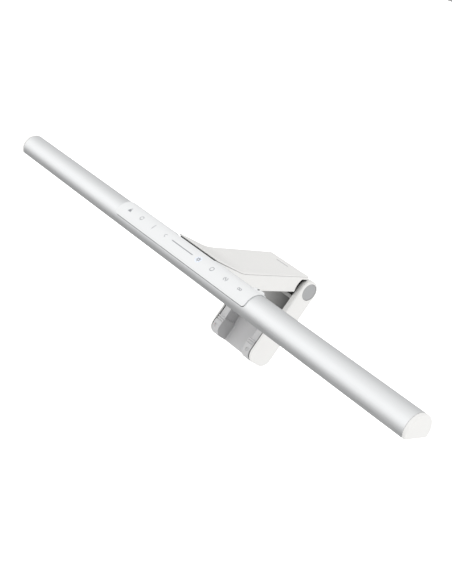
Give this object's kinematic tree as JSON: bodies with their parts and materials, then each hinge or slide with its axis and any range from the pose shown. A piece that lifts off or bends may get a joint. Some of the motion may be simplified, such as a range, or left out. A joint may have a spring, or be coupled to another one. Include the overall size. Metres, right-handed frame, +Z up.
{
  "type": "monitor light bar",
  "caption": "Slim desk lamp that sits on a monitor's top edge: an aluminium light tube with a touch panel on a short arm, with a front hook and a sprung rear leg.",
  "frame": {"origin": "where the monitor's front top edge sits: underside of the rest pad, in the plane of the hook pad's rear face, mid-width", "axes": "+X along the lamp to the user's right, +Y to the rear of the monitor, +Z up"},
  "size_m": [0.5, 0.1341, 0.0933],
  "materials": {
    "tube_aluminium": "satin anodised",
    "diffuser_frost": "frosted",
    "reflector_white": "matte",
    "inner_metal": "mill",
    "board_white": "solder mask",
    "led": "phosphor",
    "cap_white": "fine texture",
    "panel_white": "satin",
    "sensor_dark": "gloss",
    "board_green": "solder mask",
    "black_rubber": "matte",
    "chip_black": "matte",
    "shell_white": "fine texture",
    "screw_steel": "plain",
    "cable_black": "matte",
    "pad_grey": "matte silicone",
    "bush_plastic": "plain",
    "weight_steel": "plain",
    "spring_steel": "plain",
    "disc_grey": "matte"
  },
  "bodies": {
    "arm": {"arm_lower_shell": "shell_white", "arm_top_cover": "shell_white", "arm_frame": "inner_metal", "cover_screws": "screw_steel", "driver_board": "board_green", "driver_components": "chip_black", "usb_c_socket": "screw_steel", "bar_cable": "cable_black", "hook_lip": "shell_white", "hook_pad": "pad_grey", "hook_screws": "screw_steel", "rest_pad": "pad_grey", "hinge_bush_left": "bush_plastic", "hinge_bush_right": "bush_plastic", "hinge_washers": "black_rubber", "tilt_shoe": "bush_plastic", "tilt_liners": "black_rubber", "shoe_screws": "screw_steel", "slot_seal": "black_rubber"},
    "bar": {"light_tube": "tube_aluminium", "diffuser": "diffuser_frost", "reflector": "reflector_white", "heat_spreader": "inner_metal", "led_board": "board_white", "led_packages": "led", "end_cap_left": "cap_white", "end_cap_right": "cap_white", "touch_panel": "panel_white", "panel_gasket": "black_rubber", "sensor_window": "sensor_dark", "touch_board": "board_green", "touch_contacts": "black_rubber", "touch_chips": "chip_black"},
    "leg": {"leg_shell": "shell_white", "leg_frame": "shell_white", "leg_pad": "pad_grey", "leg_gasket": "black_rubber", "counterweight": "weight_steel", "leg_screws": "screw_steel", "hinge_shaft": "screw_steel", "torsion_spring": "spring_steel", "retaining_rings": "spring_steel", "hinge_cap_left": "disc_grey", "hinge_cap_right": "disc_grey"}
  },
  "joints": [
    {"name": "bar_tilt", "type": "hinge", "parent": "arm", "child": "bar", "pos_m": [0, -0.056, 0.0152], "axis": [1, 0, 0], "range_deg": [-12, 12]},
    {"name": "leg_hinge", "type": "hinge", "parent": "arm", "child": "leg", "pos_m": [0, 0.0567, 0.0028], "axis": [1, 0, 0], "range_deg": [0, 70], "stiffness_Nm_per_rad": 0.15, "springref_deg": -28.65}
  ]
}
